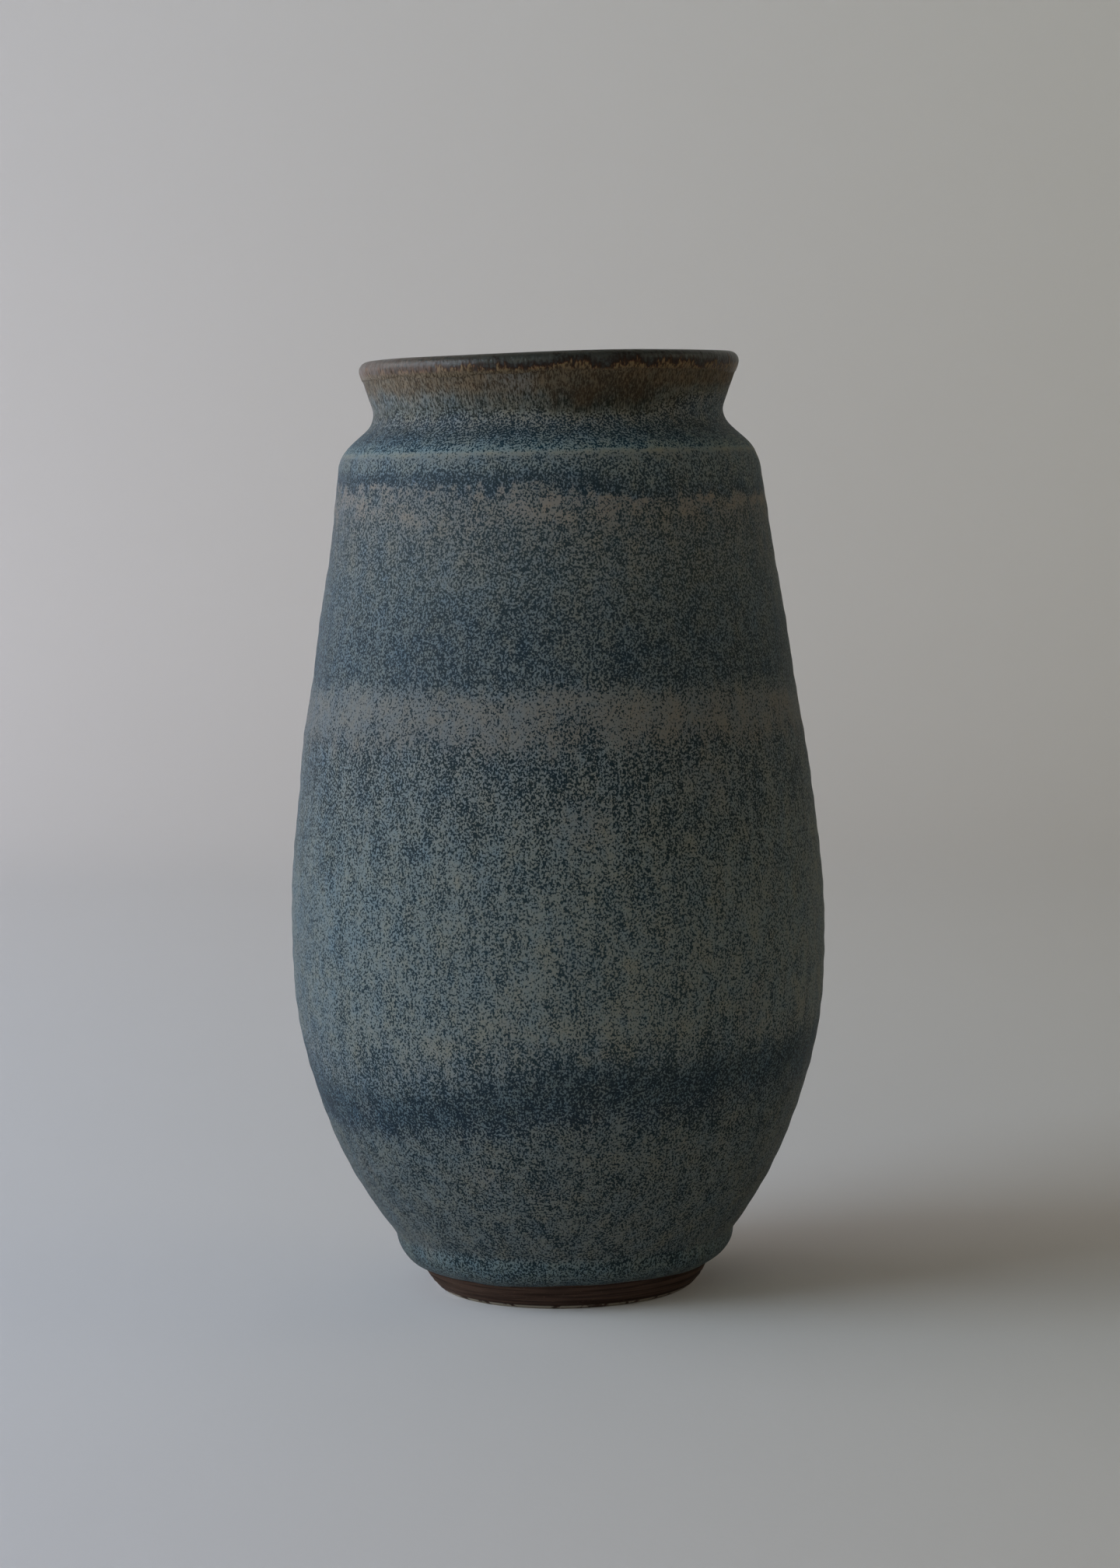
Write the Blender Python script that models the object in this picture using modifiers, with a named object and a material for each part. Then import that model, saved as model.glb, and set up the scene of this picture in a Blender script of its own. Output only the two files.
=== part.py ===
"""Stoneware vase: a thrown belly, a luted neck collar and a trimmed foot under three glaze coats.

Every piece is turned about +Z, and the origin is the centre of the resting plane.
Profiles are lists of (radius, height) points in metres.  They are written for the
finished outer surface and an inset, the distance from that surface into the wall.
"""

import math

import bpy

COLLECTION_NAME = "stoneware_vase"
STEPS = 44

# Finished outer shape
HEIGHT = 0.2700
BELLY_RADIUS = 0.0775
BELLY_HEIGHT = 0.1010
UPPER_ARC = 0.3270
LOWER_ARC = 0.1420
TAPER_ANGLE = math.atan(0.149)
NECK_RADIUS = 0.0505
NECK_HEIGHT = 0.2541
HOLLOW_ARC = 0.0061
SHOULDER_ANGLE = math.atan(1.11)
FLARE_ANGLE = math.atan(0.335)
RIDGE_ROUND = 0.0085

# Walls, coats and the clearance that stands for the fired bond between pieces
GAP = 0.0003
COAT = 0.0007
NECK_WALL = 0.0056
BODY_WALL = 0.0070
FLOOR_HEIGHT = 0.0115
FLOOR_FILLET = 0.0120

# Lap joint under the shoulder ridge
SEAM_HEIGHT = 0.2360
TONGUE = 0.0040

# Foot
FOOT_HEIGHT = 0.0072
FOOT_TOP_RADIUS = 0.0417
FOOT_BASE_RADIUS = 0.0372
FOOT_CHAMFER = 0.0006
FOOT_BORE = 0.0300
RECESS_HEIGHT = 0.0040

# Rounded glaze roll above the foot, and how far the rim glaze runs down each side of the lip
ROLL_CENTRE = (0.0392, 0.0172)
ROLL_RADIUS = 0.0104
ROLL_START = math.radians(-5)
ROLL_END = math.radians(-72)
ROLL_TOP = 0.0172
GLAZE_EDGE = 0.0080
RIM_DROP_OUTSIDE = 0.0020
RIM_DROP_INSIDE = 0.0080

# Insets of the surfaces inside the wall
CLAY_DEPTH = COAT + GAP
BODY_CLAY_INSET = BODY_WALL - CLAY_DEPTH
NECK_CLAY_INSET = NECK_WALL - CLAY_DEPTH
SEAM_INSET = BODY_WALL / 2

UPPER_CENTRE = (BELLY_RADIUS - UPPER_ARC, BELLY_HEIGHT)
LOWER_CENTRE = (BELLY_RADIUS - LOWER_ARC, BELLY_HEIGHT)
HOLLOW_CENTRE = (NECK_RADIUS + HOLLOW_ARC, NECK_HEIGHT)
LIP_RADIUS = NECK_WALL / 2


def polar(centre, radius, angle):
    """Return the point at an angle round a centre."""
    return (centre[0] + radius * math.cos(angle), centre[1] + radius * math.sin(angle))


def arc(centre, radius, start, end, segments):
    """Return the points of an arc from one angle to another."""
    step = (end - start) / segments
    return [polar(centre, radius, start + step * index) for index in range(segments + 1)]


def meet(point_a, angle_a, point_b, angle_b):
    """Return where two lines cross, each given by a point and a direction angle."""
    ax, az = math.cos(angle_a), math.sin(angle_a)
    bx, bz = math.cos(angle_b), math.sin(angle_b)
    dx, dz = point_b[0] - point_a[0], point_b[1] - point_a[1]
    along = (dx * bz - dz * bx) / (ax * bz - az * bx)
    return (point_a[0] + along * ax, point_a[1] + along * az)


def lip_centre():
    """Return the centre of the rounded lip, on the middle line of the flared neck."""
    start = polar(HOLLOW_CENTRE, HOLLOW_ARC + LIP_RADIUS, math.pi - FLARE_ANGLE)
    rise = HEIGHT - LIP_RADIUS - start[1]
    return (start[0] + rise * math.tan(FLARE_ANGLE), HEIGHT - LIP_RADIUS)


def flare_point(inset, drop):
    """Return the point of the flared neck at an inset, a distance below the lip's centre."""
    beside = polar(lip_centre(), LIP_RADIUS - inset, -FLARE_ANGLE)
    return polar(beside, drop, -math.pi / 2 - FLARE_ANGLE)


def lip_arc(inset):
    """Return the lip's round at an inset, from the inside over the top to the outside."""
    radius = LIP_RADIUS - inset
    inner = arc(lip_centre(), radius, math.pi - FLARE_ANGLE, math.pi / 2, 2)
    outer = arc(lip_centre(), radius, math.pi / 2, -FLARE_ANGLE, 4)
    return inner[:-1] + outer


def hollow_arc(inset):
    """Return the neck's hollow at an inset, from the flare down to the shoulder."""
    return arc(HOLLOW_CENTRE, HOLLOW_ARC + inset, math.pi - FLARE_ANGLE, math.pi + SHOULDER_ANGLE, 4)


def ridge_corner(wall_inset, shoulder_inset):
    """Return where the tapered wall meets the shoulder's cone, each at its own inset."""
    wall = polar(UPPER_CENTRE, UPPER_ARC - wall_inset, TAPER_ANGLE)
    shoulder = polar(HOLLOW_CENTRE, HOLLOW_ARC + shoulder_inset, math.pi + SHOULDER_ANGLE)
    return meet(wall, math.pi / 2 + TAPER_ANGLE, shoulder, SHOULDER_ANGLE - math.pi / 2)


def ridge_round(inset):
    """Return the softened outer ridge at an inset, from the shoulder down to the wall."""
    centre = ridge_corner(RIDGE_ROUND, RIDGE_ROUND)
    return arc(centre, RIDGE_ROUND - inset, SHOULDER_ANGLE, TAPER_ANGLE, 2)


def wall_point(inset, height):
    """Return the point of the straight tapered wall at an inset and a height."""
    wall = polar(UPPER_CENTRE, UPPER_ARC - inset, TAPER_ANGLE)
    return (wall[0] - (height - wall[1]) * math.tan(TAPER_ANGLE), height)


def belly_line(inset, end_angle):
    """Return the belly at an inset, from the foot of the taper down to an angle of the lower arc."""
    upper = arc(UPPER_CENTRE, UPPER_ARC - inset, TAPER_ANGLE, 0.0, 3)
    lower = arc(LOWER_CENTRE, LOWER_ARC - inset, 0.0, end_angle, 8)
    return upper[:-1] + lower


def lower_arc_angle(inset, height):
    """Return the angle of the lower arc, at an inset, that lies at a height."""
    return math.asin((height - BELLY_HEIGHT) / (LOWER_ARC - inset))


def inner_line(inset):
    """Return the inside of the belly and floor at an inset, from the taper down to the axis.

    The fillet's centre is shared by every inset, so the coats stay parallel.
    """
    centre_height = FLOOR_HEIGHT + FLOOR_FILLET
    reach = LOWER_ARC - BODY_CLAY_INSET - FLOOR_FILLET
    fillet_angle = math.asin((centre_height - BELLY_HEIGHT) / reach)
    centre = polar(LOWER_CENTRE, reach, fillet_angle)
    radius = FLOOR_FILLET - (inset - BODY_CLAY_INSET)
    fillet = arc(centre, radius, fillet_angle, -math.pi / 2, 3)
    return belly_line(inset, fillet_angle) + fillet[1:] + [(0.0, centre_height - radius)]


def foot_ring_profile():
    """Bare trimmed foot: leans outwards, with a small chamfer at the resting edge."""
    lean = (FOOT_TOP_RADIUS - FOOT_BASE_RADIUS) / FOOT_HEIGHT
    return [
        (FOOT_TOP_RADIUS, FOOT_HEIGHT),
        (FOOT_BASE_RADIUS + FOOT_CHAMFER * lean, FOOT_CHAMFER),
        (FOOT_BASE_RADIUS - FOOT_CHAMFER, 0.0),
        (FOOT_BORE + FOOT_CHAMFER, 0.0),
        (FOOT_BORE, FOOT_CHAMFER),
        (FOOT_BORE, FOOT_HEIGHT),
    ]


def body_wall_profile():
    """Thrown belly with its floor, a spigot into the foot and a tongue into the collar."""
    underside = FOOT_HEIGHT + GAP
    spigot_radius = FOOT_BORE - GAP
    tongue_top = SEAM_HEIGHT + TONGUE
    inside = inner_line(BODY_CLAY_INSET)[::-1]
    tongue = [
        wall_point(BODY_CLAY_INSET, tongue_top),
        wall_point(SEAM_INSET, tongue_top),
        wall_point(SEAM_INSET, SEAM_HEIGHT),
        wall_point(CLAY_DEPTH, SEAM_HEIGHT),
    ]
    outside = belly_line(CLAY_DEPTH, lower_arc_angle(CLAY_DEPTH, underside))
    spigot = [(spigot_radius, underside), (spigot_radius, RECESS_HEIGHT), (0.0, RECESS_HEIGHT)]
    return inside + tongue + outside + spigot


def neck_collar_profile():
    """Neck and lip, with a skirt that laps over the belly's tongue under the ridge."""
    skirt_top = SEAM_HEIGHT + TONGUE + GAP
    skirt_bottom = SEAM_HEIGHT + GAP
    inside = [ridge_corner(BODY_CLAY_INSET, NECK_CLAY_INSET)] + hollow_arc(NECK_CLAY_INSET)[::-1]
    outside = hollow_arc(CLAY_DEPTH) + ridge_round(CLAY_DEPTH)
    skirt = [
        wall_point(CLAY_DEPTH, skirt_bottom),
        wall_point(SEAM_INSET - GAP, skirt_bottom),
        wall_point(SEAM_INSET - GAP, skirt_top),
        wall_point(BODY_CLAY_INSET, skirt_top),
    ]
    return inside + lip_arc(CLAY_DEPTH) + outside + skirt


def outer_glaze_profile():
    """Mottled glaze coat from just under the lip to the thick roll above the foot."""
    drop = RIM_DROP_OUTSIDE + GAP
    front = [flare_point(0.0, drop)] + hollow_arc(0.0) + ridge_round(0.0)
    front += belly_line(0.0, lower_arc_angle(0.0, ROLL_TOP))
    front += arc(ROLL_CENTRE, ROLL_RADIUS, ROLL_START, ROLL_END, 4)
    back = [flare_point(COAT, drop)] + hollow_arc(COAT) + ridge_round(COAT)
    back += belly_line(COAT, lower_arc_angle(COAT, GLAZE_EDGE))
    return front + back[::-1]


def rim_glaze_profile():
    """Iron-brown glaze folded over the lip."""
    front = [flare_point(NECK_WALL, RIM_DROP_INSIDE)] + lip_arc(0.0)
    front += [flare_point(0.0, RIM_DROP_OUTSIDE)]
    back = [flare_point(NECK_WALL - COAT, RIM_DROP_INSIDE)] + lip_arc(COAT)
    back += [flare_point(COAT, RIM_DROP_OUTSIDE)]
    return front + back[::-1]


def liner_line(wall_inset, neck_inset):
    """Return one face of the liner, from under the rim glaze down to the axis."""
    top = [flare_point(neck_inset, RIM_DROP_INSIDE + GAP)] + hollow_arc(neck_inset)[1:]
    return top + [ridge_corner(wall_inset, neck_inset)] + inner_line(wall_inset)


def liner_glaze_profile():
    """Glaze coat on the inside wall and floor."""
    front = liner_line(BODY_WALL, NECK_WALL)
    back = liner_line(BODY_WALL - COAT, NECK_WALL - COAT)
    return front[::-1] + back


def glazed_stoneware(name, colour, roughness):
    """Return a non-metallic ceramic material."""
    material = bpy.data.materials.new(name)
    material.use_nodes = True
    shader = material.node_tree.nodes["Principled BSDF"]
    shader.inputs["Base Color"].default_value = (*colour, 1.0)
    shader.inputs["Roughness"].default_value = roughness
    shader.inputs["Metallic"].default_value = 0.0
    material.diffuse_color = (*colour, 1.0)
    return material


def turn(name, profile, closed, material, collection):
    """Turn a profile about +Z into a named solid, smooth with sharp corners kept."""
    mesh = bpy.data.meshes.new(name)
    count = len(profile)
    edges = [(index, index + 1) for index in range(count - 1)]
    if closed:
        edges.append((count - 1, 0))
    mesh.from_pydata([(radius, 0.0, height) for radius, height in profile], edges, [])
    solid = bpy.data.objects.new(name, mesh)
    collection.objects.link(solid)
    screw = solid.modifiers.new("turn", "SCREW")
    screw.axis = "Z"
    screw.angle = 2 * math.pi
    screw.steps = STEPS
    screw.render_steps = STEPS
    screw.use_merge_vertices = True
    screw.merge_threshold = 0.00001
    bpy.context.view_layer.update()
    turned = bpy.data.meshes.new_from_object(solid.evaluated_get(bpy.context.evaluated_depsgraph_get()))
    turned.name = name
    solid.modifiers.clear()
    solid.data = turned
    turned.shade_smooth()
    turned.set_sharp_from_angle(angle=math.radians(35))
    turned.materials.clear()
    turned.materials.append(material)
    return solid


def main():
    for old in list(bpy.data.objects):
        bpy.data.objects.remove(old, do_unlink=True)
    collection = bpy.data.collections.new(COLLECTION_NAME)
    bpy.context.scene.collection.children.link(collection)
    bare_clay = glazed_stoneware("bare_dark_stoneware", (0.045, 0.030, 0.024), 0.75)
    covered_clay = glazed_stoneware("covered_stoneware", (0.070, 0.048, 0.038), 0.85)
    blue_glaze = glazed_stoneware("mottled_blue_glaze", (0.085, 0.130, 0.150), 0.55)
    iron_glaze = glazed_stoneware("iron_rim_glaze", (0.050, 0.038, 0.026), 0.35)
    dark_liner = glazed_stoneware("dark_liner_glaze", (0.040, 0.050, 0.052), 0.45)
    turn("foot_ring", foot_ring_profile(), True, bare_clay, collection)
    turn("body_wall", body_wall_profile(), False, covered_clay, collection)
    turn("neck_collar", neck_collar_profile(), True, covered_clay, collection)
    turn("outer_glaze", outer_glaze_profile(), True, blue_glaze, collection)
    turn("rim_glaze", rim_glaze_profile(), True, iron_glaze, collection)
    turn("liner_glaze", liner_glaze_profile(), False, dark_liner, collection)


main()
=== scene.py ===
"""Looks for the stoneware vase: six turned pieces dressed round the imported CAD.

Lengths are metres, and millimetres inside the materials and where a comment says so.
The vase stands on z = 0, +Z up, its front towards -Y.
"""
import math
import bpy
import numpy as np
from mathutils import Matrix, Vector


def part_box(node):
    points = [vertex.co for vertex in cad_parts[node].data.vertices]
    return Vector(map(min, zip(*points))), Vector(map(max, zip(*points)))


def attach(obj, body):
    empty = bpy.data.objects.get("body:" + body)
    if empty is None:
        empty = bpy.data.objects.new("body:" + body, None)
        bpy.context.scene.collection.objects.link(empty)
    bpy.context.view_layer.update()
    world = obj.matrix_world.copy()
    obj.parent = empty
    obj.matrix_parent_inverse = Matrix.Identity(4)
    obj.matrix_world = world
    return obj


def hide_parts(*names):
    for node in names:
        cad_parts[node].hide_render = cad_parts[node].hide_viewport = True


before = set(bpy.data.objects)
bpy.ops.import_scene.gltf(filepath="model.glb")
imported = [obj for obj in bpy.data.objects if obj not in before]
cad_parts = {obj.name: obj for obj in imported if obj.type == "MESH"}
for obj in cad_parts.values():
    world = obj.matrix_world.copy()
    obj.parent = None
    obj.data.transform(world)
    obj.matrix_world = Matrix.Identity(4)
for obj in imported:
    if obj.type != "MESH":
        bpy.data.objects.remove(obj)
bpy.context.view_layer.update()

MM = 0.001
DEG = math.pi / 180
TINY = 1e-6
# A profile turning by more than CORNER stays sharp there; faces meeting at more than CREASE are shaded apart
CORNER = 40 * DEG
CREASE = 35 * DEG

# ---------------------------------------------------------------- driving sizes, taken from the frame
VASE_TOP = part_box("rim_glaze")[1].z
BELLY_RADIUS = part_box("outer_glaze")[1].x
GLAZE_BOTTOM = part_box("outer_glaze")[0].z
RIM_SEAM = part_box("outer_glaze")[1].z
INNER_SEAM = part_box("liner_glaze")[1].z
FOOT_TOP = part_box("foot_ring")[1].z

# ---------------------------------------------------------------- glaze palette (linear reflectance)
EDGE_TEAL = (0.117, 0.146, 0.142)
LOW_GREY = (0.130, 0.141, 0.130)
BAND_BLUE = (0.098, 0.128, 0.134)
BELLY_PALE = (0.165, 0.175, 0.157)
BELLY_GREEN = (0.159, 0.172, 0.157)
RUN_GREY = (0.167, 0.177, 0.167)
BAND_TAN = (0.154, 0.149, 0.135)
NAVY_GREY = (0.128, 0.147, 0.146)
UPPER_GREY = (0.150, 0.161, 0.154)
SHOULDER_TAN = (0.168, 0.161, 0.144)
SHOULDER_BLUE = (0.112, 0.137, 0.149)
SHOULDER_GREY = (0.159, 0.179, 0.171)
BLUSH_TAN = (0.200, 0.168, 0.140)
RIDGE_PALE = (0.186, 0.183, 0.155)
SLOPE_TEAL = (0.175, 0.217, 0.209)
HOLLOW_BLUE = (0.165, 0.191, 0.195)
HOLLOW_GREY = (0.179, 0.178, 0.164)
NECK_OLIVE = (0.141, 0.139, 0.116)
NECK_BROWN = (0.134, 0.126, 0.101)
NECK_AMBER = (0.117, 0.088, 0.055)
NECK_SHADE = (0.052, 0.046, 0.032)
# Painted light: what the glaze's colour is multiplied by, from the vase's left side (0) to its right (1),
# bluer on the left that faces the lamps and darker on the shaded right
SIDE_LIGHT_TINTS = (
    (0.00, (0.92, 1.02, 1.14)),
    (0.35, (1.01, 1.03, 1.07)),
    (0.65, (1.03, 1.03, 1.01)),
    (1.00, (0.91, 0.95, 0.97)),
)
# Painted light: the neck's left side, facing the lamps, is made paler
NECK_LEFT_LIGHT = (1.55, 1.58, 1.72)
# The two ends of the glaze's patchy drift between warm and blue
DRIFT_WARM = (1.36, 1.06, 0.76)
DRIFT_BLUE = (0.66, 0.95, 1.26)
GRAIN_SHADE = (0.90, 0.90, 0.90)

SPECK_LOW = (0.011, 0.020, 0.023)
SPECK_DEEP = (0.014, 0.022, 0.028)
SPECK_TEAL = (0.019, 0.031, 0.035)
SPECK_NAVY = (0.018, 0.027, 0.032)
SPECK_UPPER = (0.026, 0.036, 0.037)
SPECK_BLUE = (0.022, 0.033, 0.038)
SPECK_SLOPE = (0.009, 0.029, 0.042)
SPECK_HOLLOW = (0.013, 0.024, 0.031)
SPECK_SHADE = (0.020, 0.029, 0.034)
SPECK_RUN = (0.013, 0.022, 0.025)
SPECK_OLIVE = (0.016, 0.017, 0.012)
SPECK_BROWN = (0.034, 0.022, 0.012)

IRON_BROWN = (0.018, 0.010, 0.006)
IRON_PEACH = (0.230, 0.158, 0.122)
LIP_GREY = (0.040, 0.043, 0.038)

CLAY_DARK = (0.025, 0.013, 0.009)
CLAY_LIGHT = (0.065, 0.037, 0.026)
CLAY_GRIT = (0.100, 0.062, 0.040)
CLAY_SCORCH = (0.030, 0.018, 0.013)
CLAY_WORN = (0.34, 0.29, 0.22)
WALL_DARK = (0.052, 0.030, 0.021)
WALL_LIGHT = (0.090, 0.055, 0.038)
WALL_GRIT = (0.120, 0.088, 0.062)

# How strongly a matte surface reflects, and how deep each material's bump is
MATTE_SHINE = 0.08
GLAZE_BUMP = 0.22 * MM
IRON_BUMP = 0.26 * MM
CLAY_BUMP = 0.16 * MM
PAPER_BUMP = 0.05 * MM

# The iron glaze from just under its seam (0) to the lip (1)
IRON_BANDS = (
    (0.00, NECK_AMBER),
    (0.20, (0.150, 0.102, 0.056)),
    (0.30, (0.185, 0.122, 0.060)),
    (0.36, (0.085, 0.040, 0.020)),
    (0.42, (0.022, 0.011, 0.007)),
    (0.62, (0.014, 0.011, 0.008)),
    (0.80, (0.044, 0.042, 0.034)),
    (1.00, (0.034, 0.034, 0.028)),
)

# How the glaze reads up the vase: height as a share of the whole, ground colour, speck colour,
# share of the ground that the specks cover
GLAZE_BANDS = (
    (0.030, EDGE_TEAL, SPECK_LOW, 0.50),
    (0.053, EDGE_TEAL, SPECK_LOW, 0.50),
    (0.064, LOW_GREY, SPECK_LOW, 0.46),
    (0.194, LOW_GREY, SPECK_LOW, 0.46),
    (0.218, NAVY_GREY, SPECK_DEEP, 0.58),
    (0.230, BAND_BLUE, SPECK_DEEP, 0.61),
    (0.256, BAND_BLUE, SPECK_DEEP, 0.59),
    (0.284, RUN_GREY, SPECK_TEAL, 0.53),
    (0.316, BELLY_PALE, SPECK_TEAL, 0.42),
    (0.420, BELLY_GREEN, SPECK_TEAL, 0.42),
    (0.500, BELLY_GREEN, SPECK_RUN, 0.46),
    (0.590, RUN_GREY, SPECK_RUN, 0.55),
    (0.606, BAND_TAN, SPECK_RUN, 0.45),
    (0.622, BAND_TAN, SPECK_RUN, 0.31),
    (0.644, BAND_TAN, SPECK_RUN, 0.31),
    (0.668, NAVY_GREY, SPECK_NAVY, 0.57),
    (0.714, NAVY_GREY, SPECK_NAVY, 0.53),
    (0.770, UPPER_GREY, SPECK_UPPER, 0.53),
    (0.838, SHOULDER_TAN, SPECK_UPPER, 0.50),
    (0.854, SHOULDER_TAN, SPECK_BLUE, 0.49),
    (0.864, SHOULDER_BLUE, SPECK_NAVY, 0.64),
    (0.872, SHOULDER_BLUE, SPECK_BLUE, 0.61),
    (0.884, SHOULDER_GREY, SPECK_BLUE, 0.50),
    (0.8950, UPPER_GREY, SPECK_BLUE, 0.38),
    (0.8964, RIDGE_PALE, SPECK_BLUE, 0.12),
    (0.8982, RIDGE_PALE, SPECK_BLUE, 0.12),
    (0.8996, SLOPE_TEAL, SPECK_SLOPE, 0.44),
    (0.918, HOLLOW_BLUE, SPECK_HOLLOW, 0.60),
    (0.932, HOLLOW_GREY, SPECK_SHADE, 0.55),
    (0.944, NECK_OLIVE, SPECK_OLIVE, 0.50),
    (0.956, NECK_BROWN, SPECK_OLIVE, 0.50),
    (0.967, NECK_AMBER, SPECK_BROWN, 0.45),
)

# ---------------------------------------------------------------- small maths helpers


def rise(value, low, high):
    """0 below low, 1 above high, a smooth climb between."""
    t = np.clip((value - low) / (high - low), 0, 1)
    return t * t * (3 - 2 * t)


def window(value, centre, reach):
    """1 at centre, falling smoothly to 0 at reach either side."""
    return 1 - rise(np.abs(value - centre), 0, reach)


def plateau(value, centre, flat, reach):
    """1 within flat of centre, falling smoothly to 0 at reach."""
    return 1 - rise(np.abs(value - centre), flat, reach)


def waves(angle, parts):
    """A sum of sines round the vase; parts are (count, size, phase)."""
    total = np.zeros_like(angle)
    for count, size, phase in parts:
        total += size * np.sin(count * angle + phase)
    return total


# ---------------------------------------------------------------- the hand-made shape shared by all pieces


def throwing_rings(angle, height):
    """The faint ridges a potter's fingers leave, as a radial shift."""
    slow = 0.9 * np.sin(angle + 0.4) + 0.5 * np.sin(2 * angle + 1.1)
    h = height / MM
    rings = 0.060 * np.sin(h / 1.02 + slow)
    rings += 0.055 * np.sin(h / 1.71 + 0.7 * slow + 1.0)
    rings += 0.110 * np.sin(h / 6.3 + 0.4 * slow + 2.0)
    calm = rise(height, FOOT_TOP, 2.6 * FOOT_TOP) * (1 - rise(height, 0.92 * VASE_TOP, VASE_TOP))
    return rings * calm * MM


def out_of_round(angle, height):
    """Slow unevenness of the wall, as a radial shift."""
    share = height / VASE_TOP
    shift = 0.16 * np.sin(2 * angle + 0.3 * share)
    shift += 0.12 * np.cos(3 * angle + 0.5 * share)
    shift += 0.06 * np.cos(5 * angle - 0.4 * share)
    left = np.maximum(0, -np.sin(angle))
    right = np.maximum(0, np.sin(angle))
    shift += 0.45 * left * (window(share, 0.605, 0.07) - window(share, 0.795, 0.10))
    shift += 0.35 * rise(share, 0.965, 1) - 0.30 * right * window(share, 0.905, 0.03)
    return shift * rise(height, 0, 0.15 * VASE_TOP) * MM


def seam_wave(angle):
    """The wavy lower edge of the iron glaze round the rim."""
    parts = ((3, 0.5, 0.3), (7, 0.5, 1.9), (13, 0.45, 0.2), (22, 0.3, 2.2))
    return 0.45 * MM * waves(angle, parts)


def foot_wave(angle):
    """The uneven line where the glaze stops above the foot."""
    parts = ((1, 0.25, 0.5), (2, 0.25, 1.3), (5, 0.16, 0.6), (9, 0.10, 2.5), (17, 0.06, 1.0))
    return MM * waves(angle, parts)


def sideways_lean(z):
    """How far the lip and the foot sit to the right of the belly."""
    lip = 0.50 * rise(z, 0.93 * VASE_TOP, VASE_TOP)
    foot = 0.45 * (1 - rise(z, 0, 0.17 * VASE_TOP))
    return (lip + foot) * MM


def lip_wave(angle, x, z):
    """The lip's tilt, higher on the right, and its gentle wave."""
    tilt = 0.0087 * x * rise(z, 0.92 * VASE_TOP, VASE_TOP)
    wave = 0.16 * MM * waves(angle, ((2, 1.0, 0.9), (5, 0.5, 0.2)))
    return tilt + wave * rise(z, 0.955 * VASE_TOP, VASE_TOP)


def hand_made(x, y, z):
    """Moves points from the true turned shape to the hand-thrown one."""
    angle = np.arctan2(x, -y)
    radius = np.hypot(x, y)
    swell = out_of_round(angle, z) + throwing_rings(angle, z)
    swell = swell * rise(radius, 0.2 * BELLY_RADIUS, 0.5 * BELLY_RADIUS)
    scale = 1 + swell / np.maximum(radius, MM)
    seam = seam_wave(angle) * window(z, RIM_SEAM, VASE_TOP - RIM_SEAM)
    edge = foot_wave(angle) * window(z, GLAZE_BOTTOM, 0.9 * GLAZE_BOTTOM)
    edge = edge * rise(radius, 0.50 * BELLY_RADIUS, 0.54 * BELLY_RADIUS)
    lift = lip_wave(angle, x, z) + seam + edge
    return x * scale + sideways_lean(z), y * scale, z + lift


# ---------------------------------------------------------------- reading and smoothing the CAD profiles


def section_edges(node):
    """The CAD node's edges in the half-plane at angle 0: each (radius, height) with its neighbours."""
    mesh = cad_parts[node].data
    verts = [tuple(round(c, 7) for c in v.co) for v in mesh.vertices]
    near = {}
    for face in mesh.polygons:
        ring = [verts[i] for i in face.vertices]
        for a, b in zip(ring, ring[1:] + ring[:1]):
            flat = abs(a[1]) < TINY and abs(b[1]) < TINY
            if flat and a[0] > -TINY and b[0] > -TINY and a != b:
                near.setdefault((a[0], a[2]), set()).add((b[0], b[2]))
                near.setdefault((b[0], b[2]), set()).add((a[0], a[2]))
    return near


def on_axis(point):
    return point[0] < TINY


def cad_profile(node):
    """The CAD node's section as a list of (radius, height), and whether it closes on itself."""
    near = section_edges(node)
    ends = sorted(p for p in near if on_axis(p) or len(near[p]) == 1)
    start = ends[0] if ends else min(near)
    line = [start]
    before, here = None, start
    while True:
        onward = sorted(p for p in near[here] if p != before and not (on_axis(p) and on_axis(here)))
        if not onward:
            break
        before, here = here, onward[0]
        if here == start:
            break
        line.append(here)
        if on_axis(here):
            break
    # A flat floor has no vertex on the axis, so an open section is carried on level to it.
    if ends and not on_axis(line[0]):
        line.insert(0, (0.0, line[0][1]))
    if ends and not on_axis(line[-1]):
        line.append((0.0, line[-1][1]))
    return np.array(line), not ends


def turn_angle(a, b, c):
    """How much the line a, b, c turns at b."""
    u = b - a
    v = c - b
    return abs(math.atan2(u[0] * v[1] - u[1] * v[0], u @ v))


def tangents(points, closed):
    """A direction into and out of every profile point, or None at a sharp corner."""
    count = len(points)
    into = [None] * count
    out = [None] * count
    for i in range(count):
        if not closed and i in (0, count - 1):
            axis = np.array((1.0, 0.0)) if i == 0 else np.array((-1.0, 0.0))
            into[i] = out[i] = axis
            continue
        a, b, c = points[i - 1], points[i], points[(i + 1) % count]
        if turn_angle(a, b, c) > CORNER:
            continue
        u = b - a
        v = c - b
        t = u / math.hypot(*u) ** 2 + v / math.hypot(*v) ** 2
        into[i] = out[i] = t / math.hypot(*t)
    return into, out


def bounce(chord, direction):
    """The mirror of a direction about the chord, so an open-ended arc stays round."""
    return 2 * (chord @ direction) * chord - direction


def bezier(a, b, start, end, reach_a, reach_b, pieces):
    """Points from a towards b along a curve that leaves along start and arrives along end."""
    t = (np.arange(pieces) / pieces)[:, None]
    s = 1 - t
    leaving = 3 * s * s * t * (a + start * reach_a)
    arriving = 3 * s * t * t * (b - end * reach_b)
    return s ** 3 * a + leaving + arriving + t ** 3 * b


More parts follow.
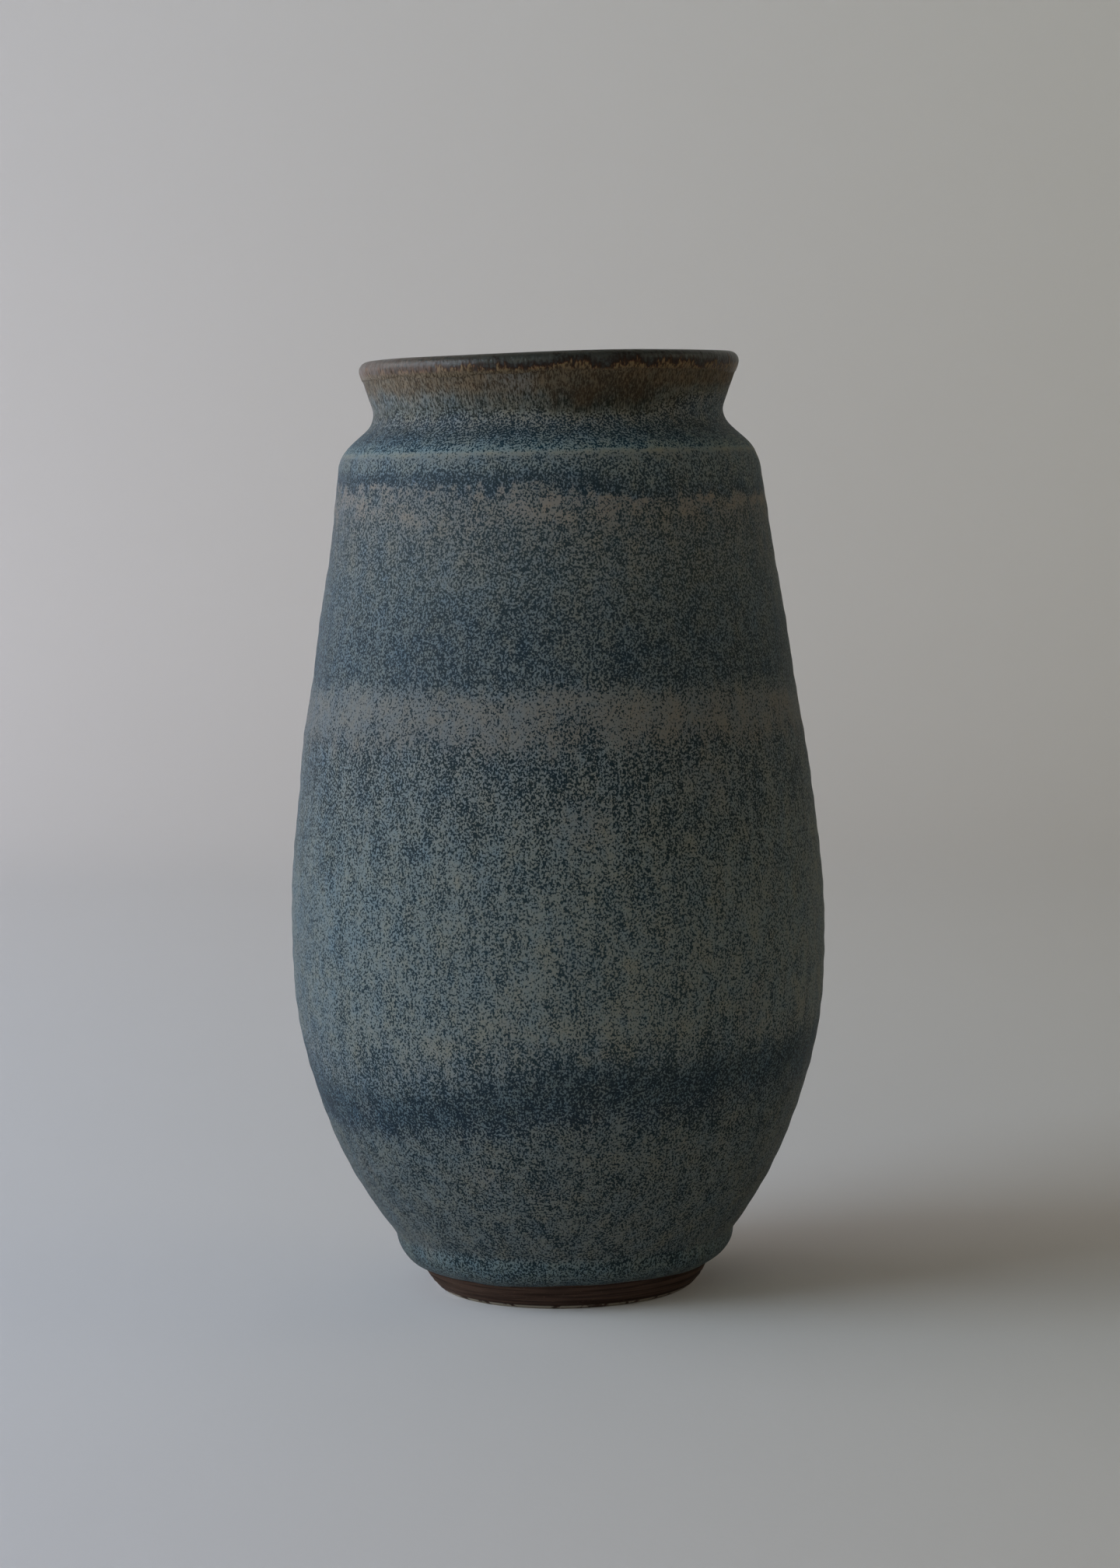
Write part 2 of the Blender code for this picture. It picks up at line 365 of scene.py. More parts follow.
def smooth_line(points, closed, step):
    """Points along a smooth curve through the profile, about step apart, with its sharp corners kept."""
    into, out = tangents(points, closed)
    count = len(points)
    spans = count if closed else count - 1
    lengths = [math.hypot(*(points[(i + 1) % count] - points[i])) for i in range(spans)]
    line = []
    for i in range(spans):
        a, b = points[i], points[(i + 1) % count]
        chord = (b - a) / lengths[i]
        start, end = out[i], into[(i + 1) % count]
        if start is None and end is None:
            start = end = chord
        elif start is None:
            start = bounce(chord, end)
        elif end is None:
            end = bounce(chord, start)
        # A handle is no longer than its shorter neighbour allows, so long straight runs stay straight.
        before = lengths[i - 1] if closed or i > 0 else lengths[i]
        after = lengths[(i + 1) % spans] if closed or i + 1 < spans else lengths[i]
        reach_a = 0.36 * min(lengths[i], before)
        reach_b = 0.36 * min(lengths[i], after)
        pieces = max(1, int(math.ceil(lengths[i] / step)))
        line.append(bezier(a, b, start, end, reach_a, reach_b, pieces))
    if not closed:
        line.append(points[-1:])
    return np.concatenate(line)


def turned_right_way(line):
    """Orders the profile so that the mesh's faces point outwards."""
    r, z = line[:, 0], line[:, 1]
    area = 0.5 * np.sum(r * np.roll(z, -1) - np.roll(r, -1) * z)
    return line if area > 0 else line[::-1]


# ---------------------------------------------------------------- turning a profile into a piece


def spin_faces(rows, around, closed):
    """Quads between neighbouring rows, and the fans at the axis when the profile is open."""
    grid = np.arange(rows * around).reshape(rows, around)
    upper = np.roll(grid, -1, axis=0) if closed else grid[1:]
    lower = grid if closed else grid[:-1]
    quads = np.stack([lower, np.roll(lower, -1, axis=1), np.roll(upper, -1, axis=1), upper], -1)
    faces = quads.reshape(-1, 4).tolist()
    if not closed:
        first, last = rows * around, rows * around + 1
        bottom, top = grid[0], grid[-1]
        faces += [(first, int(bottom[(k + 1) % around]), int(bottom[k])) for k in range(around)]
        faces += [(last, int(top[k]), int(top[(k + 1) % around])) for k in range(around)]
    return faces


def new_mesh(name, points, faces, material):
    """A new object in the scene, shaded smooth except at its creases."""
    mesh = bpy.data.meshes.new(name)
    mesh.from_pydata(points.tolist(), [], faces)
    mesh.validate()
    piece = bpy.data.objects.new(name, mesh)
    bpy.context.scene.collection.objects.link(piece)
    mesh.materials.append(material)
    mesh.shade_smooth()
    mesh.set_sharp_from_angle(angle=CREASE)
    return piece


def store(piece, name, values):
    """Keeps one number for each point, for the materials to read."""
    attribute = piece.data.attributes.new(name, "FLOAT", "POINT")
    attribute.data.foreach_set("value", np.asarray(values, np.float32))


def spun_points(line, around, closed):
    """The profile's points turned round the axis; an open profile's two ends come last, once each."""
    rows = line if closed else line[1:-1]
    angle = np.arange(around) * 2 * math.pi / around
    x = (rows[:, :1] * np.cos(angle)).ravel()
    y = (rows[:, :1] * np.sin(angle)).ravel()
    z = np.repeat(rows[:, 1], around)
    if not closed:
        x = np.r_[x, 0, 0]
        y = np.r_[y, 0, 0]
        z = np.r_[z, line[0, 1], line[-1, 1]]
    return x, y, z


def turned_piece(name, node, material, step, around, finish_line=None):
    """Spins the smoothed CAD profile of a node, then gives it the hand-made shape."""
    profile, closed = cad_profile(node)
    line = turned_right_way(smooth_line(profile, closed, step))
    if finish_line:
        line = finish_line(line)
    x, y, z = spun_points(line, around, closed)
    rows = len(line) if closed else len(line) - 2
    faces = spin_faces(rows, around, closed)
    piece = new_mesh(name, np.stack(hand_made(x, y, z), 1), faces, material)
    angle = np.arctan2(x, -y)
    store(piece, "flow", band_flow(angle, z))
    store(piece, "run", band_run(angle, z))
    store(piece, "stain", neck_stain(angle, z))
    store(piece, "smudge", tan_smudge(angle, z))
    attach(piece, "root")
    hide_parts(node)
    return piece


# ---------------------------------------------------------------- how the glaze bands wander round the vase


def band_flow(angle, z):
    """How far each glaze band sits above its usual height, in mm."""
    h = z / VASE_TOP
    right = np.sin(angle)
    low = 7.5 * right + waves(angle, ((3, 1.2, 0.4), (5, 0.9, 2.0), (9, 0.6, 1.0)))
    tan = waves(angle, ((2, 1.0, 2.2), (4, 0.8, 0.3), (7, 0.7, 1.4), (13, 0.5, 0.0)))
    tan -= 3.5 * window(angle, -68 * DEG, 26 * DEG) * (1 - rise(h, 0.60, 0.65))
    tan += 2.0 * window(angle, -30 * DEG, 10 * DEG) + 1.6 * window(angle, 2 * DEG, 8 * DEG)
    navy = waves(angle, ((1, 1.5, 1.0), (3, 1.2, 2.4)))
    shoulder = 2.2 - 5.6 * rise(right, -0.15, 0.40) + waves(angle, ((5, 0.4, 1.0), (8, 0.4, 0.0)))
    neck = -0.6 - 2.0 * rise(right, -0.16, 0.12) + 9.0 * rise(right, 0.45, 0.90)
    neck += waves(angle, ((6, 0.3, 0.0), (11, 0.4, 1.0), (19, 0.3, 2.0)))
    neck -= 2.6 * window(angle, 10 * DEG, 5 * DEG)
    flow = low * window(h, 0.24, 0.10)
    flow += tan * window(h, 0.645, 0.05)
    flow += navy * window(h, 0.72, 0.06)
    flow += shoulder * window(h, 0.862, 0.028)
    flow += neck * window(h, 0.948, 0.024)
    return flow


def neck_stain(angle, z):
    """Where the brown of the neck gathers dark: 1 in the middle of the patch right of the front."""
    h = z / VASE_TOP
    patch = plateau(angle, 19 * DEG, 10 * DEG, 24 * DEG) * window(h, 0.954, 0.028)
    drip = window(angle, 9 * DEG, 6 * DEG) * window(h, 0.940, 0.022)
    far = plateau(angle, -150 * DEG, 14 * DEG, 30 * DEG) * window(h, 0.954, 0.026)
    return np.clip(patch + 0.8 * drip + 0.8 * far, 0, 1)


def tan_smudge(angle, z):
    """Soft patches where the glaze ran thin over the belly: 1 in the middle of each."""
    h = z / VASE_TOP
    front = window(angle, 6 * DEG, 9 * DEG) * window(h, 0.525, 0.045)
    right = window(angle, 36 * DEG, 9 * DEG) * window(h, 0.565, 0.040)
    back = window(angle, -140 * DEG, 14 * DEG) * window(h, 0.500, 0.050)
    return np.clip(front + 0.8 * right + 0.7 * back, 0, 1)


def band_run(angle, z):
    """How far the glaze's vertical runs drag a band's edge, in mm."""
    h = z / VASE_TOP
    run = 1.2 + 9.0 * window(h, 0.295, 0.055) + 3.0 * window(h, 0.21, 0.04)
    run += 8.0 * window(h, 0.595, 0.05) + 3.0 * window(h, 0.68, 0.04)
    run += 3.2 * window(h, 0.945, 0.025) + 9.0 * window(h, 0.860, 0.016)
    run *= 1 - 0.85 * window(h, 0.898, 0.014)
    return run


# ---------------------------------------------------------------- node helpers


class Nodes:
    """Short words for building one material's node tree; places in it are millimetres."""

    def __init__(self, name):
        self.material = bpy.data.materials.new(name)
        self.material.use_nodes = True
        self.tree = self.material.node_tree
        self.tree.nodes.clear()
        self.output = self.tree.nodes.new("ShaderNodeOutputMaterial")
        self.shader = self.tree.nodes.new("ShaderNodeBsdfPrincipled")
        self.tree.links.new(self.shader.outputs["BSDF"], self.output.inputs["Surface"])
        self.shader.inputs["Specular IOR Level"].default_value = MATTE_SHINE
        coords = self.tree.nodes.new("ShaderNodeTexCoord").outputs["Object"]
        self.place = self.vector("MULTIPLY", coords, (1 / MM, 1 / MM, 1 / MM))
        split = self.tree.nodes.new("ShaderNodeSeparateXYZ")
        self.tree.links.new(self.place, split.inputs[0])
        self.x, self.y, self.z = split.outputs

    def plug(self, value, socket):
        """Links or sets a socket, whichever the value calls for."""
        if isinstance(value, bpy.types.NodeSocket):
            self.tree.links.new(value, socket)
        elif isinstance(value, tuple) and socket.type == "RGBA":
            socket.default_value = (*value, 1.0)
        else:
            socket.default_value = value

    def vector(self, word, a, b):
        node = self.tree.nodes.new("ShaderNodeVectorMath")
        node.operation = word
        self.plug(a, node.inputs[0])
        self.plug(b, node.inputs[1])
        return node.outputs[0]

    def math(self, word, a, b=0.0, clamp=False):
        node = self.tree.nodes.new("ShaderNodeMath")
        node.operation = word
        node.use_clamp = clamp
        self.plug(a, node.inputs[0])
        self.plug(b, node.inputs[1])
        return node.outputs[0]

    def add(self, a, b):
        return self.math("ADD", a, b)

    def times(self, a, b):
        return self.math("MULTIPLY", a, b)

    def climb(self, value, low, high):
        """0 below low, 1 above high, smooth between."""
        node = self.tree.nodes.new("ShaderNodeMapRange")
        node.interpolation_type = "SMOOTHSTEP"
        self.plug(value, node.inputs["Value"])
        self.plug(low, node.inputs["From Min"])
        self.plug(high, node.inputs["From Max"])
        return node.outputs["Result"]

    def mix(self, share, a, b, word="MIX"):
        node = self.tree.nodes.new("ShaderNodeMix")
        node.data_type = "RGBA"
        node.blend_type = word
        node.clamp_factor = True
        self.plug(share, node.inputs[0])
        self.plug(a, node.inputs[6])
        self.plug(b, node.inputs[7])
        return node.outputs[2]

    def blend(self, share, a, b):
        """A plain number between a and b."""
        node = self.tree.nodes.new("ShaderNodeMix")
        node.data_type = "FLOAT"
        self.plug(share, node.inputs[0])
        self.plug(a, node.inputs[2])
        self.plug(b, node.inputs[3])
        return node.outputs[0]

    def noise(self, across, tall=1.0, detail=2.0, rough=0.5, shift=0.0):
        """Noise with features across mm wide and tall times as high."""
        stretched = self.vector("MULTIPLY", self.place, (1 / across, 1 / across, 1 / (across * tall)))
        moved = self.vector("ADD", stretched, (shift, 0.7 * shift, 1.3 * shift))
        node = self.tree.nodes.new("ShaderNodeTexNoise")
        self.plug(moved, node.inputs["Vector"])
        node.inputs["Scale"].default_value = 1.0
        node.inputs["Detail"].default_value = detail
        node.inputs["Roughness"].default_value = rough
        return node.outputs["Fac"]

    def swing(self, noise, size):
        """A noise turned into a push of about size either way."""
        return self.times(self.math("SUBTRACT", noise, 0.5), 2.0 * size)

    def ramp(self, share, stops):
        """The colour or number at a share, between stops of (share, value)."""
        node = self.tree.nodes.new("ShaderNodeValToRGB")
        bar = node.color_ramp
        bar.interpolation = "LINEAR"
        for place, value in stops[2:]:
            bar.elements.new(place)
        for element, (place, value) in zip(bar.elements, stops):
            element.position = place
            colour = value if isinstance(value, tuple) else (value, value, value)
            element.color = (*colour, 1.0)
        self.plug(share, node.inputs[0])
        return node.outputs["Color"]

    def attribute(self, name):
        node = self.tree.nodes.new("ShaderNodeAttribute")
        node.attribute_name = name
        return node.outputs["Fac"]

    def pinholes(self, cell, size, share):
        """Small round spots: 1 at a spot's middle, on a chosen share of the cells."""
        node = self.tree.nodes.new("ShaderNodeTexVoronoi")
        shrunk = self.vector("MULTIPLY", self.place, (1 / cell, 1 / cell, 1 / cell))
        self.plug(shrunk, node.inputs["Vector"])
        node.inputs["Scale"].default_value = 1.0
        near = self.climb(node.outputs["Distance"], size / cell, 0.4 * size / cell)
        picked = self.math("LESS_THAN", node.outputs["Color"], share)
        return self.times(near, picked)

    def finish(self, colour, roughness, height, lift):
        """height is the bump's size from 0 to 1, lift its depth in metres."""
        bump = self.tree.nodes.new("ShaderNodeBump")
        bump.inputs["Strength"].default_value = 1.0
        bump.inputs["Distance"].default_value = lift
        self.plug(height, bump.inputs["Height"])
        self.plug(colour, self.shader.inputs["Base Color"])
        self.plug(roughness, self.shader.inputs["Roughness"])
        self.tree.links.new(bump.outputs["Normal"], self.shader.inputs["Normal"])
        return self.material


# ---------------------------------------------------------------- materials


def drifted_height(n, streak):
    """The height in mm at which the glaze colours are looked up: bands wander and run."""
    dragged = n.times(n.attribute("run"), n.swing(streak, 1.0))
    return n.add(n.math("SUBTRACT", n.z, n.attribute("flow")), dragged)


def lamp_side(n):
    """0 up to the front's middle, 1 far round to the left, the side that faces the lamps."""
    return n.climb(n.x, -8.0, -48.0)


def hue_drift(n):
    """Patches a few millimetres wide, from warm (low) to blue (high)."""
    return n.noise(6.0, 1.3, detail=4.0, rough=0.75, shift=81.0)


def speckle(n, cover, hue, softness=0.04):
    """The share of dark speck at a point, for a wanted cover of the ground; bluer patches hold more."""
    dots = n.noise(0.53, 1.2, detail=1.7, rough=0.6)
    clumps = n.noise(4.2, 2.2, detail=2.0, rough=0.5, shift=7.0)
    runs = n.noise(3.2, 11.0, detail=2.0, rough=0.5, shift=19.0)
    drifts = n.add(n.swing(clumps, 0.08), n.swing(runs, 0.06))
    even = n.blend(n.climb(n.z, 0.59 * VASE_TOP / MM, 0.68 * VASE_TOP / MM), 1.0, 0.55)
    level = n.add(n.add(dots, n.times(drifts, even)), n.swing(hue, 0.06))
    edge = n.math("SUBTRACT", 0.5 + 0.19, n.times(cover, 0.38))
    return n.climb(level, n.math("SUBTRACT", edge, softness), n.add(edge, softness))


def neck_streaks(n, stain):
    """Long thin dark runs, thicker where the neck is stained."""
    thin = n.noise(0.42, 14.0, detail=2.0, rough=0.65, shift=43.0)
    edge = n.math("SUBTRACT", 0.50, n.times(stain, 0.07))
    return n.climb(thin, n.math("SUBTRACT", edge, 0.07), n.add(edge, 0.09))


def glaze_bands(n, share):
    """The ground colour, speck colour and cover at a share of the vase's height."""
    ground = n.ramp(share, [(h, g) for h, g, s, c in GLAZE_BANDS])
    speck = n.ramp(share, [(h, s) for h, g, s, c in GLAZE_BANDS])
    cover = n.ramp(share, [(h, c) for h, g, s, c in GLAZE_BANDS])
    return ground, speck, cover


def shoulder_blush(n, share):
    """Ragged tan patches just under the dark shoulder band."""
    under_band = n.times(n.climb(share, 0.815, 0.850), n.climb(share, 0.866, 0.856))
    patches = n.noise(9.0, 0.6, detail=3.0, rough=0.6, shift=71.0)
    return n.times(under_band, n.climb(patches, 0.47, 0.56))


def mottled_ground(n, ground, smudge, blush):
    """The ground colour with its warm patches and a fine grain."""
    warmth = n.climb(n.noise(16.0, 1.3, detail=3.0, rough=0.6, shift=31.0), 0.56, 0.72)
    tanned = n.math("MAXIMUM", n.times(warmth, 0.45), n.times(smudge, 0.6))
    ground = n.mix(tanned, ground, BAND_TAN)
    ground = n.mix(n.times(blush, 0.75), ground, BLUSH_TAN)
    grain = n.noise(0.6, 1.2, detail=1.0, rough=0.5, shift=11.0)
    return n.mix(n.times(n.climb(grain, 0.35, 0.65), 0.22), ground, GRAIN_SHADE, "MULTIPLY")


def neck_glaze(n, share, colour, ground, speck):
    """Up in the neck the specks give way to long brown streaks, with painted light making the lamp-facing
    left side paler.
    """
    neck = n.climb(share, 0.940, 0.956)
    stain = n.times(n.attribute("stain"), neck)
    stained = n.mix(n.times(stain, 0.55), ground, NECK_SHADE)
    streaked = n.mix(neck_streaks(n, stain), stained, speck)
    colour = n.mix(n.times(neck, 0.86), colour, streaked)
    # Painted light: the lamp-facing left side of the neck is lightened.
    paler = n.mix(1.0, colour, NECK_LEFT_LIGHT, "MULTIPLY")
    return n.mix(n.times(neck, lamp_side(n)), colour, paler)


def side_light_and_drift(n, colour, hue):
    """The colour with its painted side light, bluer on the lamp-lit left and darker on the shaded right, and
    its drift between warm and blue.
    """
    aside = n.math("DIVIDE", n.add(n.x, BELLY_RADIUS / MM), 2 * BELLY_RADIUS / MM)
    colour = n.mix(1.0, colour, n.ramp(aside, SIDE_LIGHT_TINTS), "MULTIPLY")
    return n.mix(1.0, colour, n.mix(hue, DRIFT_WARM, DRIFT_BLUE), "MULTIPLY")


def glaze_roughness(n, dots, ground, speck):
    """Roughness of the ground and of the specks, varying slowly."""
    return n.add(n.blend(dots, ground, speck), n.swing(n.noise(9.0, 1.5, shift=5.0), 0.08))


def glaze_lumps(n, dots):
    """Gentle lumps, with the specks sunk a little."""
    lumps = n.noise(2.2, 1.2, detail=3.0, shift=23.0)
    return n.add(n.times(lumps, 0.55), n.times(dots, -0.16))


def speckled_glaze():
    """The mottled blue-grey glaze over the outside."""
    n = Nodes("speckled_blue_glaze")
    streak = n.noise(3.6, 12.0, detail=2.0, rough=0.55, shift=3.0)
    share = n.math("DIVIDE", drifted_height(n, streak), VASE_TOP / MM)
    ground, speck, cover = glaze_bands(n, share)
    smudge = n.attribute("smudge")
    blush = shoulder_blush(n, share)
    thinned = n.add(n.times(smudge, 0.16), n.times(blush, 0.20))
    hue = hue_drift(n)
    dots = speckle(n, n.math("SUBTRACT", cover, thinned), hue)
    ground = mottled_ground(n, ground, smudge, blush)
    colour = neck_glaze(n, share, n.mix(dots, ground, speck), ground, speck)
    colour = side_light_and_drift(n, colour, hue)
    pits = n.pinholes(7.0, 0.62, 0.10)
    colour = n.mix(n.times(pits, 0.85), colour, SPECK_NAVY)
    height = n.add(glaze_lumps(n, dots), n.times(pits, -1.6))
    return n.finish(colour, glaze_roughness(n, dots, 0.62, 0.50), height, GLAZE_BUMP)


def above_iron_edge(n):
    """How far a point is above the iron glaze's ragged lower edge, in mm; the edge is higher on the right."""
    run = n.swing(n.noise(1.2, 3.0, detail=2.0, rough=0.6, shift=2.0), 3.6)
    gather = n.swing(n.noise(6.0, 1.0, detail=1.0, shift=61.0), 3.0)
    above = n.math("SUBTRACT", n.add(n.z, n.add(run, gather)), RIM_SEAM / MM)
    return n.math("SUBTRACT", above, n.times(n.climb(n.x, 6.0, 30.0), 0.7))


def iron_tone(n, above, share, streaks):
    """The iron glaze's colour: bands, a peach left side that is partly its own break colour and partly a
    painted highlight from the lamps, brown streaks and a grey mottle.
    """
    tone = n.ramp(n.math("DIVIDE", n.add(above, 1.5), 7.5, clamp=True), IRON_BANDS)
    # Partly painted highlight: on the lamp-facing left the peach break is carried up towards the lip.
    peach_and_highlight = n.times(lamp_side(n), n.blend(share, 1.0, 0.6))
    tone = n.mix(n.times(peach_and_highlight, 0.6), tone, IRON_PEACH)
    tone = n.mix(n.times(streaks, n.blend(share, 0.80, 0.1)), tone, IRON_BROWN)
    mottle = n.climb(n.noise(1.1, 0.8, detail=3.0, rough=0.65), 0.48, 0.68)
    return n.mix(n.times(mottle, share), tone, LIP_GREY)


def iron_glaze():
    """The dark iron glaze that breaks to amber where it thins below the lip."""
    n = Nodes("iron_rim_glaze")
    above = above_iron_edge(n)
    share = n.climb(above, 0.5, 4.0)
    streaks = n.climb(n.noise(0.7, 5.0, detail=2.0, rough=0.65, shift=13.0), 0.46, 0.60)
    tone = iron_tone(n, above, share, streaks)
    # Just above the seam it repeats the streaks of the glaze below, so the seam does not show as a line.
    below = n.mix(neck_streaks(n, n.attribute("stain")), NECK_AMBER, SPECK_BROWN)
    # Painted light: the lamp-facing left side is lightened here, as on the neck below.
    below = n.mix(lamp_side(n), below, n.mix(1.0, below, NECK_LEFT_LIGHT, "MULTIPLY"))
    colour = n.mix(n.climb(n.z, RIM_SEAM / MM + 0.1, RIM_SEAM / MM + 1.3), below, tone)
    n.plug(n.blend(share, 0.06, 0.28), n.shader.inputs["Specular IOR Level"])
    roughness = n.add(0.34, n.swing(n.noise(3.0, 1.0, shift=5.0), 0.12))
    height = n.add(n.times(n.noise(1.8, 1.0, detail=2.0, shift=3.0), 0.9), n.times(streaks, -0.10))
    return n.finish(colour, roughness, height, IRON_BUMP)


def liner_glaze():
    """The same speckled glaze inside, browner close to the rim."""
    n = Nodes("speckled_liner_glaze")
    ground = n.mix(n.climb(n.noise(22.0, 1.0, detail=3.0, rough=0.6), 0.4, 0.65), NAVY_GREY, LOW_GREY)
    dots = speckle(n, 0.52, hue_drift(n))
    colour = n.mix(dots, ground, SPECK_TEAL)
    z = n.add(n.z, n.swing(n.noise(3.6, 8.0, detail=2.0, shift=3.0), 12.0))
    streaks = n.climb(n.noise(1.0, 7.0, detail=2.0, rough=0.6, shift=43.0), 0.40, 0.62)
    brown = n.mix(streaks, NECK_BROWN, SPECK_OLIVE)
    top = INNER_SEAM / MM
    colour = n.mix(n.climb(z, top - 14.0, top - 3.0), colour, brown)
    # Its top repeats the lower edge of the iron glaze, which fades into it.
    amber = n.mix(neck_streaks(n, n.attribute("stain")), NECK_AMBER, SPECK_BROWN)
    near_top = n.add(n.z, n.swing(n.noise(1.2, 5.0, detail=2.0, shift=51.0), 4.0))
    colour = n.mix(n.climb(near_top, top - 7.5, top - 2.5), colour, amber)
    return n.finish(colour, glaze_roughness(n, dots, 0.50, 0.40), glaze_lumps(n, dots), GLAZE_BUMP)


def bare_clay():
    """Dark fired clay with fine trimming lines, worn pale where it stands on the table."""
    n = Nodes("bare_stoneware_clay")
    lines = n.noise(40.0, 0.024, detail=2.0, rough=0.6)
    base = n.mix(n.climb(lines, 0.40, 0.60), CLAY_DARK, CLAY_LIGHT)
    grit = n.climb(n.noise(0.8, 0.7, detail=2.0, rough=0.7, shift=9.0), 0.60, 0.72)
    base = n.mix(n.times(grit, 0.5), base, CLAY_GRIT)
    scorch = n.climb(n.noise(11.0, 0.6, detail=3.0, rough=0.6, shift=17.0), 0.45, 0.68)
    base = n.mix(n.times(scorch, 0.4), base, CLAY_SCORCH)
    patches = n.climb(n.noise(4.0, 1.0, detail=3.0, rough=0.65, shift=4.0), 0.40, 0.50)
    worn = n.times(n.climb(n.z, 1.3, 0.8), patches)
    colour = n.mix(n.times(worn, 0.8), base, CLAY_WORN)
    roughness = n.add(0.74, n.swing(n.noise(2.0, 1.0, shift=1.0), 0.10))
    height = n.add(n.times(lines, 0.6), n.times(n.noise(0.7, 1.0, detail=2.0, shift=8.0), 0.4))
    return n.finish(colour, roughness, height, CLAY_BUMP)


def covered_clay():
    """The clay of the walls; only the underside inside the foot shows."""
    n = Nodes("covered_stoneware_clay")
    tone = n.noise(14.0, 1.0, detail=4.0, rough=0.6)
    base = n.mix(n.climb(tone, 0.35, 0.68), WALL_DARK, WALL_LIGHT)
    grit = n.climb(n.noise(0.9, 1.0, detail=2.0, rough=0.7, shift=9.0), 0.60, 0.72)
    base = n.mix(n.times(grit, 0.5), base, WALL_GRIT)
    roughness = n.add(0.76, n.swing(n.noise(2.0, 1.0, shift=1.0), 0.10))
    height = n.add(n.times(tone, 0.4), n.times(n.noise(0.8, 1.0, detail=3.0, shift=8.0), 0.6))
    return n.finish(base, roughness, height, CLAY_BUMP)


# ---------------------------------------------------------------- the pieces


def close_rim_seam(line):
    """Tucks the outer glaze's top edge up behind the iron glaze, so no crack shows."""
    line = line.copy()
    top = rise(line[:, 1], RIM_SEAM - 2 * MM, RIM_SEAM - 0.5 * MM)
    line[:, 1] += 0.35 * MM * top
    line[:, 0] -= 0.05 * MM * top
    return line


def close_inner_seam(line):
    """Stretches the liner glaze up to the iron glaze."""
    line = line.copy()
    line[:, 1] += 0.03 * MM * rise(line[:, 1], INNER_SEAM - 2 * MM, INNER_SEAM - 0.5 * MM)
    return line


def trim_foot(line):
    """Fine turning lines cut round the foot's outside."""
    line = line.copy()
    middle = (line[:, 0].min() + line[:, 0].max()) / 2
    outside = rise(line[:, 0], middle, middle + 2 * MM)
    h = line[:, 1] / MM
    ripple = 0.06 * np.sin(h * 5.1) + 0.03 * np.sin(h * 9.3 + 1.0) + 0.04 * np.sin(h * 2.9)
    line[:, 0] += ripple * MM * outside * window(h, 3.6, 3.4)
    return line


def build_vase():
    """Each row: piece, CAD node, slot, material, profile step in mm, count around, change to the profile."""
    clay = covered_clay()
    rows = (
        ("speckled_outer_glaze", "outer_glaze", "blue_glaze", speckled_glaze(), 1.50, 340, close_rim_seam),
        ("iron_rim_glaze", "rim_glaze", "iron_glaze", iron_glaze(), 0.45, 340, None),
        ("inside_glaze", "liner_glaze", "liner_glaze", liner_glaze(), 3.00, 240, close_inner_seam),
        ("trimmed_foot", "foot_ring", "bare_clay", bare_clay(), 0.22, 300, trim_foot),
        ("thrown_body", "body_wall", "covered_clay", clay, 3.50, 160, None),
        ("thrown_collar", "neck_collar", "covered_clay", clay, 3.00, 160, None),
    )
    for name, node, slot, material, step, around, finish_line in rows:
        piece = turned_piece(name, node, material, step * MM, around, finish_line)


# ---------------------------------------------------------------- studio

CAMERA_DISTANCE = 1.072
CAMERA_HEIGHT = 0.242
CAMERA_PITCH = 5.09 * DEG
CAMERA_ROLL = 1.15 * DEG
# Sideways shift of the lens, as a share of the picture's height
CAMERA_SHIFT = 0.003075
LENS_MM = 85
SENSOR_MM = 36
VIEW_REACH = SENSOR_MM / 2 / LENS_MM
PICTURE_SHAPE = 1.4
# The cove: the radius of its flat floor, the radius and height of its wall, and its count around
COVE_FLOOR = 1.2
COVE_WALL = 3.2
COVE_HEIGHT = 3.4
COVE_AROUND = 96
# The lamps aimed at the vase: how far from it, and how high they stand
LIGHT_REACH = 2.1
LIGHT_RISE = 22 * DEG
LAMP_FLAT = LIGHT_REACH * math.cos(LIGHT_RISE)
LAMP_HEIGHT = LIGHT_REACH * math.sin(LIGHT_RISE) + VASE_TOP / 2
PAPER = (0.87, 0.88, 0.92)
# What the paper is multiplied by at the picture's right, at its foot, where it curves up (painted shade,
# darkest away from the lamps), and in its clouds
PAPER_RIGHT_SHADE = (0.832, 0.802, 0.700)
PAPER_NEAR_SHADE = (0.872, 0.806, 0.800)
PAPER_CURVE_SHADE = (0.85, 0.86, 0.895)
PAPER_CLOUD = (0.975, 0.975, 0.975)
BLACK = (0.0, 0.0, 0.0)
WORLD_GREY = (0.001, 0.001, 0.001, 1.0)
# Lamps aimed at the vase: name, azimuth in degrees, width, watts, colour
VASE_LAMPS = (
    ("window_left", -90, 3.0, 27.6, (0.93, 0.95, 1.0)),
    ("window_front_left", -70, 1.5, 24.0, (0.60, 0.81, 1.0)),
    ("front_fill", -30, 1.5, 3.5, (0.95, 1.0, 0.72)),
    ("right_fill", 90, 1.5, 3.7, (1.0, 0.92, 0.66)),
)
# Lamps aimed at the backdrop: name, place, aim, side, watts, colour
BACKDROP_LAMPS = (
    ("backdrop_low", (-1.2, 1.0, 0.8), (-0.9, 3.2, 1.25), 0.8, 5.7, (1.0, 0.91, 0.85)),
    ("backdrop_high", (-1.4, 1.0, 1.6), (-0.8, 3.2, 1.1), 1.2, 5.2, (1.0, 0.91, 0.82)),
    ("ceiling", (0, 1.6, 3.1), (0, 1.6, 0), 2.0, 4.7, (1.0, 0.88, 0.70)),
)


